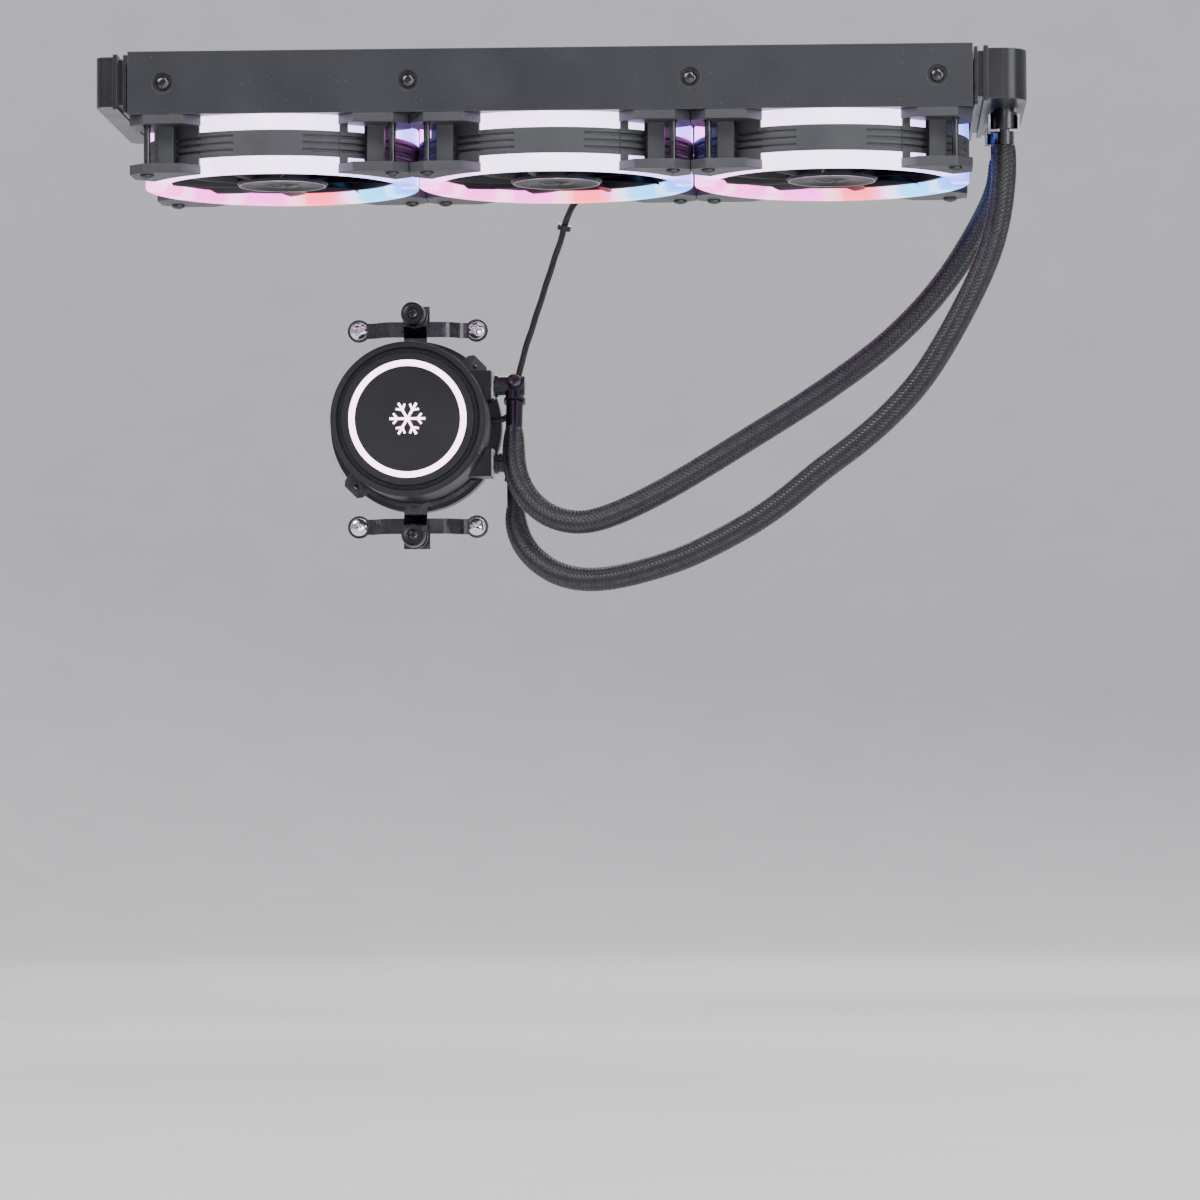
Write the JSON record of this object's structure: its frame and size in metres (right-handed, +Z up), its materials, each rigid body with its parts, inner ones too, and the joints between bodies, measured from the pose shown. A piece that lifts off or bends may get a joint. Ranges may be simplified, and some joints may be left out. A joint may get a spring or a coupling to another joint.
{
  "type": "liquid cooling radiator with pump",
  "caption": "Closed-loop liquid cooler: flat finned radiator with axial fans beneath it, sleeved hoses and a round pump head on a cold plate with spring-screw socket bars.",
  "frame": {"origin": "centre of the radiator's top face", "axes": "+X along the radiator towards its hose ports, +Y from the front towards the pump's cold plate, +Z up"},
  "size_m": [0.3988, 0.181, 0.2253],
  "materials": {
    "cover_paint": "satin black-grey powder coat",
    "tank_paint": "semi-gloss black",
    "core_aluminium": "black-dipped aluminium",
    "steel": "bright zinc-plated steel",
    "chrome": "bright chrome",
    "dark_steel": "black-plated steel",
    "copper": "bare copper, lapped",
    "frame_plastic": "fine moulded texture",
    "rotor_plastic": "dark, semi-gloss",
    "light_plastic": "milky diffuser, lit",
    "pump_plastic": "satin black",
    "elbow_plastic": "moulded black nylon",
    "rubber": "smooth black rubber",
    "sleeve": "braided black nylon sleeve",
    "cable_rubber": "thin black insulated wires",
    "bronze": "sintered bronze",
    "coil": "enamelled copper wire on a steel core",
    "board": "green solder mask",
    "magnet_plastic": "white moulded plastic over a magnet",
    "ceramic": "polished ceramic"
  },
  "bodies": {
    "main": {"radiator_fins": "core_aluminium", "radiator_tubes": "core_aluminium", "core_rails": "tank_paint", "header_plates": "tank_paint", "tank_left": "tank_paint", "tank_right": "tank_paint", "cover_front": "cover_paint", "cover_rear": "cover_paint", "cover_screws": "steel", "tank_barbs": "dark_steel", "hose_ferrules": "dark_steel", "hose_clips": "steel", "fill_plug": "steel", "fan_1_frame": "frame_plastic", "fan_1_light_rings": "light_plastic", "fan_2_frame": "frame_plastic", "fan_2_light_rings": "light_plastic", "fan_3_frame": "frame_plastic", "fan_3_light_rings": "light_plastic", "fan_stators": "coil", "fan_bearings": "bronze", "fan_boards": "board", "fan_screws": "dark_steel", "cold_plate": "copper", "plate_seal": "rubber", "pump_base": "pump_plastic", "pump_shell": "pump_plastic", "pump_cap": "pump_plastic", "light_guide": "light_plastic", "led_board": "board", "impeller_pin": "ceramic", "pump_stator": "coil", "port_plates": "steel", "pump_bracket": "dark_steel", "mount_bar_upper": "dark_steel", "mount_bar_lower": "dark_steel", "bar_screws": "chrome", "spring_upper": "steel", "spring_lower": "steel", "hose_upper": "sleeve", "hose_lower": "sleeve", "pump_cable": "cable_rubber", "cable_hank": "cable_rubber", "cable_ties": "elbow_plastic", "cable_connector": "elbow_plastic"},
    "fan_1_blades": {"fan_1_rotor": "rotor_plastic", "fan_1_shaft": "steel"},
    "fan_2_blades": {"fan_2_rotor": "rotor_plastic", "fan_2_shaft": "steel"},
    "fan_3_blades": {"fan_3_rotor": "rotor_plastic", "fan_3_shaft": "steel"},
    "pump_impeller": {"impeller": "magnet_plastic"},
    "upper_elbow": {"elbow_upper": "elbow_plastic", "elbow_screw_upper": "steel", "hose_collar_upper": "rubber"},
    "lower_elbow": {"elbow_lower": "elbow_plastic", "elbow_screw_lower": "steel", "hose_collar_lower": "rubber"},
    "upper_thumbscrew": {"thumbscrew_upper": "rotor_plastic"},
    "lower_thumbscrew": {"thumbscrew_lower": "rotor_plastic"}
  },
  "joints": [
    {"name": "fan_1_spin", "type": "hinge", "parent": "main", "child": "fan_1_blades", "pos_m": [-0.12, 0, -0.04], "axis": [0, 0, 1], "continuous": true},
    {"name": "fan_2_spin", "type": "hinge", "parent": "main", "child": "fan_2_blades", "pos_m": [0, 0, -0.04], "axis": [0, 0, 1], "continuous": true},
    {"name": "fan_3_spin", "type": "hinge", "parent": "main", "child": "fan_3_blades", "pos_m": [0.12, 0, -0.04], "axis": [0, 0, 1], "continuous": true},
    {"name": "impeller_spin", "type": "hinge", "parent": "main", "child": "pump_impeller", "pos_m": [-0.07, 0.09, -0.1485], "axis": [0, -1, 0], "continuous": true},
    {"name": "upper_elbow_swivel", "type": "hinge", "parent": "main", "child": "upper_elbow", "pos_m": [-0.024, 0.09, -0.131], "axis": [1, 0, 0], "range_deg": [-10, 10], "deforming": ["hose_upper"]},
    {"name": "lower_elbow_swivel", "type": "hinge", "parent": "main", "child": "lower_elbow", "pos_m": [-0.024, 0.09, -0.166], "axis": [1, 0, 0], "range_deg": [-10, 10], "deforming": ["hose_lower"]},
    {"name": "upper_thumbscrew_travel", "type": "slide", "parent": "main", "child": "upper_thumbscrew", "axis": [0, -1, 0], "range_m": [0, 0.006], "deforming": ["spring_upper"]},
    {"name": "lower_thumbscrew_travel", "type": "slide", "parent": "main", "child": "lower_thumbscrew", "axis": [0, -1, 0], "range_m": [0, 0.006], "deforming": ["spring_lower"]}
  ]
}
